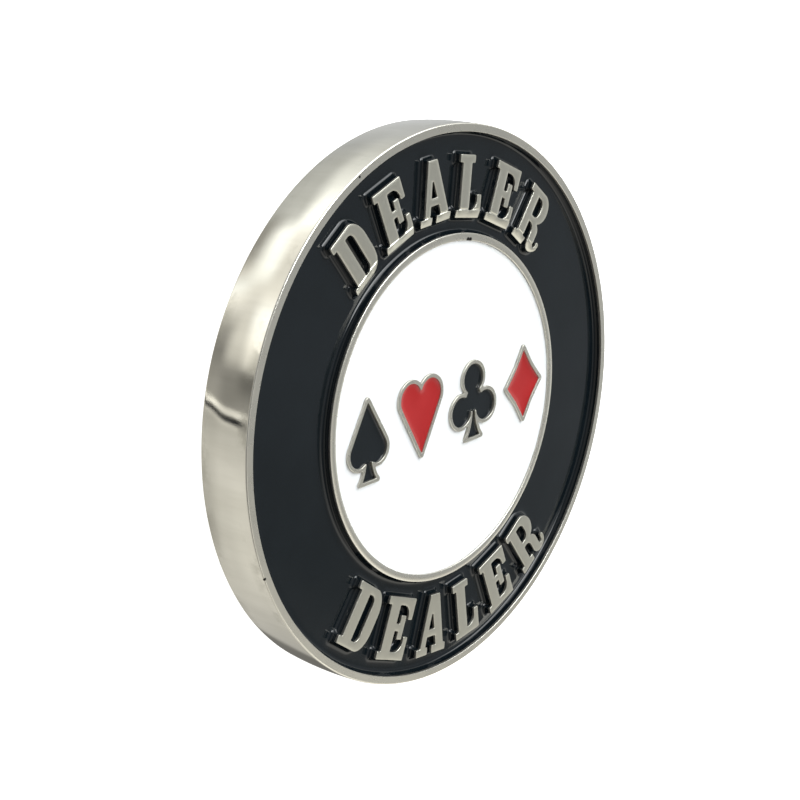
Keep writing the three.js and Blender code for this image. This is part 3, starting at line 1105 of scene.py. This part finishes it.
# The room around the button, as (azimuth from +X towards +Y, light, tint). The faces mirror what
# is above the horizon: LOW, HIGH and OVERHEAD, then the ceiling. The polished side mirrors the
# table below it: DISTANT_TABLE, then FAR_TABLE, MIDDLE_TABLE and NEAR_TABLE, each steeper than
# the one before. EDGE_OF_CLOTH multiplies the last three.
COOL = (0.98, 1.0, 1.01)
NEUTRAL = (1.0, 1.01, 0.97)
WARM = (1.0, 0.975, 0.90)
PLAIN = (1.0, 1.0, 1.0)
DEEP_BLUE = (0.7, 1.0, 1.8)
OVERHEAD = [
    (0, 0.3, NEUTRAL), (25, 0.3, NEUTRAL), (42, 8.7, COOL), (96, 8.7, COOL), (110, 0.2, COOL),
    (250, 0.2, COOL), (268, 0.9, WARM), (308, 0.9, WARM), (322, 0.45, WARM), (345, 0.35, NEUTRAL),
]
HIGH = [
    (0, 0.28, NEUTRAL), (25, 0.32, NEUTRAL), (42, 4.7, COOL), (92, 4.7, COOL), (106, 0.14, COOL),
    (245, 0.14, COOL), (262, 0.45, WARM), (284, 0.9, WARM), (300, 1.3, WARM), (312, 1.3, WARM),
    (321, 0.5, WARM), (329, 0.25, NEUTRAL), (340, 0.36, COOL), (350, 0.33, COOL),
]
LOW = [
    (0, 0.66, NEUTRAL), (25, 0.8, COOL), (45, 1.3, COOL), (95, 1.3, COOL), (112, 0.4, COOL),
    (205, 0.4, WARM), (235, 0.6, WARM), (284, 0.9, WARM), (320, 1.0, WARM), (340, 0.8, NEUTRAL),
]
DISTANT_TABLE = [
    (0, 0.55, NEUTRAL), (100, 0.7, NEUTRAL), (115, 0.4, COOL), (205, 0.45, WARM), (240, 0.65, WARM),
    (320, 0.6, WARM),
]
FAR_TABLE = [
    (0, 0.6, COOL), (38, 0.63, COOL), (54, 0.72, NEUTRAL), (70, 1.0, NEUTRAL), (80, 1.25, NEUTRAL),
    (88, 1.6, NEUTRAL), (98, 1.6, NEUTRAL), (106, 1.15, WARM), (122, 0.95, WARM), (133, 1.15, WARM),
    (142, 1.5, NEUTRAL), (152, 1.4, WARM), (160, 1.0, WARM), (163.5, 0.19, WARM), (168, 0.17, WARM),
    (175, 0.33, WARM), (183, 0.36, WARM), (187, 0.62, WARM), (208, 0.8, WARM), (245, 0.8, WARM),
    (262, 0.67, WARM), (277, 0.55, WARM), (292, 0.48, WARM), (297, 0.19, WARM), (312, 0.17, WARM),
    (320, 0.25, WARM), (340, 0.5, COOL),
]
MIDDLE_TABLE = [
    (0, 0.75, COOL), (24, 0.62, COOL), (40, 0.54, COOL), (60, 0.56, NEUTRAL), (84, 0.66, NEUTRAL),
    (92, 0.72, NEUTRAL), (97, 1.0, NEUTRAL), (102, 1.5, NEUTRAL), (120, 1.5, NEUTRAL), (129, 1.0, WARM),
    (138, 0.88, WARM), (150, 0.88, WARM), (158, 0.72, WARM), (163, 0.34, WARM), (167, 0.27, WARM),
    (180, 0.31, WARM), (187, 0.6, WARM), (203, 0.74, WARM), (230, 0.72, WARM), (265, 0.68, WARM),
    (276, 0.61, WARM), (295, 0.55, WARM), (300, 0.22, WARM), (314, 0.18, WARM), (325, 0.3, WARM),
]
NEAR_TABLE = [
    (0, 0.9, COOL), (20, 0.68, COOL), (36, 0.55, COOL), (66, 0.52, NEUTRAL), (79, 0.6, NEUTRAL),
    (87, 0.56, NEUTRAL), (95, 0.38, WARM), (105, 0.38, WARM), (112, 0.5, WARM), (119, 0.85, WARM),
    (127, 1.25, NEUTRAL), (133, 1.15, WARM), (138, 0.85, WARM), (146, 0.42, WARM), (156, 0.27, WARM),
    (167, 0.36, WARM), (176, 0.42, WARM), (190, 0.55, WARM), (200, 0.66, WARM), (218, 0.57, WARM),
    (238, 0.47, WARM), (262, 0.6, WARM), (285, 0.65, WARM), (303, 0.6, WARM), (307, 0.22, WARM),
    (316, 0.3, WARM),
]
EDGE_OF_CLOTH = [
    (0, 1.0, PLAIN), (177.4, 1.0, PLAIN), (178.2, 2.6, PLAIN), (180.2, 3.2, PLAIN),
    (180.8, 2.6, PLAIN), (181.1, 0.03, PLAIN), (183.4, 0.03, DEEP_BLUE), (184, 1.6, PLAIN),
    (186, 1.0, PLAIN), (359, 1.0, PLAIN),
]
CEILING = 0.42


def make_world():
    """Lights the scene with the room, faded from one band of elevation to the next."""
    world = bpy.data.worlds.new("studio")
    bpy.context.scene.world = world
    world.use_nodes = True
    tree = world.node_tree

    def math_node(operation, a, b=0.0):
        return add_node(tree, "ShaderNodeMath", {0: a, 1: b}, operation=operation).outputs[0]

    def fade(value, low, high, to_low=0.0, to_high=1.0):
        inputs = {
            "Value": value, "From Min": low, "From Max": high, "To Min": to_low, "To Max": to_high,
        }
        node = add_node(tree, "ShaderNodeMapRange", inputs, interpolation_type="SMOOTHSTEP")
        return node.outputs["Result"]

    def mix(factor, below, above, blend_type="MIX"):
        inputs = {0: factor, 6: below, 7: above}
        settings = {"data_type": "RGBA", "blend_type": blend_type}
        return add_node(tree, "ShaderNodeMix", inputs, **settings).outputs[2]

    def ramp(turn, stops):
        made = add_node(tree, "ShaderNodeValToRGB", {0: turn})
        elements = made.color_ramp.elements
        closed = [*stops, (360, *stops[0][1:])]
        while len(elements) < len(closed):
            elements.new(1.0)
        for element, (degrees, light, tint) in zip(elements, closed):
            element.position = degrees / 360
            element.color = (*(light * channel for channel in tint), 1)
        return made.outputs["Color"]

    direction = tree.nodes.new("ShaderNodeTexCoord").outputs["Generated"]
    parts = add_node(tree, "ShaderNodeSeparateXYZ", {0: direction})
    azimuth = math_node("ARCTAN2", parts.outputs["Y"], parts.outputs["X"])
    turn = math_node("FLOORED_MODULO", math_node("DIVIDE", azimuth, 2 * math.pi), 1.0)
    elevation = math_node("MULTIPLY", math_node("ARCSINE", parts.outputs["Z"]), 180 / math.pi)

    table = mix(fade(elevation, -52, -45), ramp(turn, NEAR_TABLE), ramp(turn, MIDDLE_TABLE))
    table = mix(fade(elevation, -44, -38), table, ramp(turn, FAR_TABLE))
    # The edge of the cloth runs askew, so the azimuth that it is seen at changes with elevation.
    askew = fade(elevation, -53, -45, 1.0 / 360, -0.4 / 360)
    edge = ramp(math_node("ADD", turn, askew), EDGE_OF_CLOTH)
    table = mix(1.0, table, edge, "MULTIPLY")
    table = mix(fade(elevation, -33, -26), table, ramp(turn, DISTANT_TABLE))
    room = mix(fade(elevation, 23, 29), ramp(turn, LOW), ramp(turn, HIGH))
    room = mix(fade(elevation, 50, 57), room, ramp(turn, OVERHEAD))
    room = mix(fade(elevation, 68, 74), room, (CEILING, CEILING, CEILING, 1))
    everything = mix(fade(elevation, -6, 2), table, room)
    tree.links.new(everything, tree.nodes["Background"].inputs["Color"])


def add_camera():
    """The camera, placed from its direction, distance and roll about the spot it looks at."""
    azimuth, elevation, roll = math.radians(158.77), math.radians(38.57), math.radians(103.06)
    aim = Vector((-8.37, 3.01, FACE)) * MM
    distance = 144.68 * MM
    back = Vector((
        math.cos(azimuth) * math.cos(elevation),
        math.sin(azimuth) * math.cos(elevation),
        math.sin(elevation),
    ))
    data = bpy.data.cameras.new("camera")
    data.lens = 64.5
    data.sensor_width = 36
    data.clip_start = 0.01
    data.clip_end = 20
    camera = bpy.data.objects.new("camera", data)
    upright = back.to_track_quat("Z", "Y").to_matrix().to_4x4()
    rolled = upright @ Matrix.Rotation(roll, 4, "Z")
    camera.matrix_world = Matrix.Translation(aim + back * distance) @ rolled
    bpy.context.scene.collection.objects.link(camera)
    bpy.context.scene.camera = camera


add_floor()
make_world()
add_camera()
bpy.context.scene.view_settings.view_transform = "Standard"
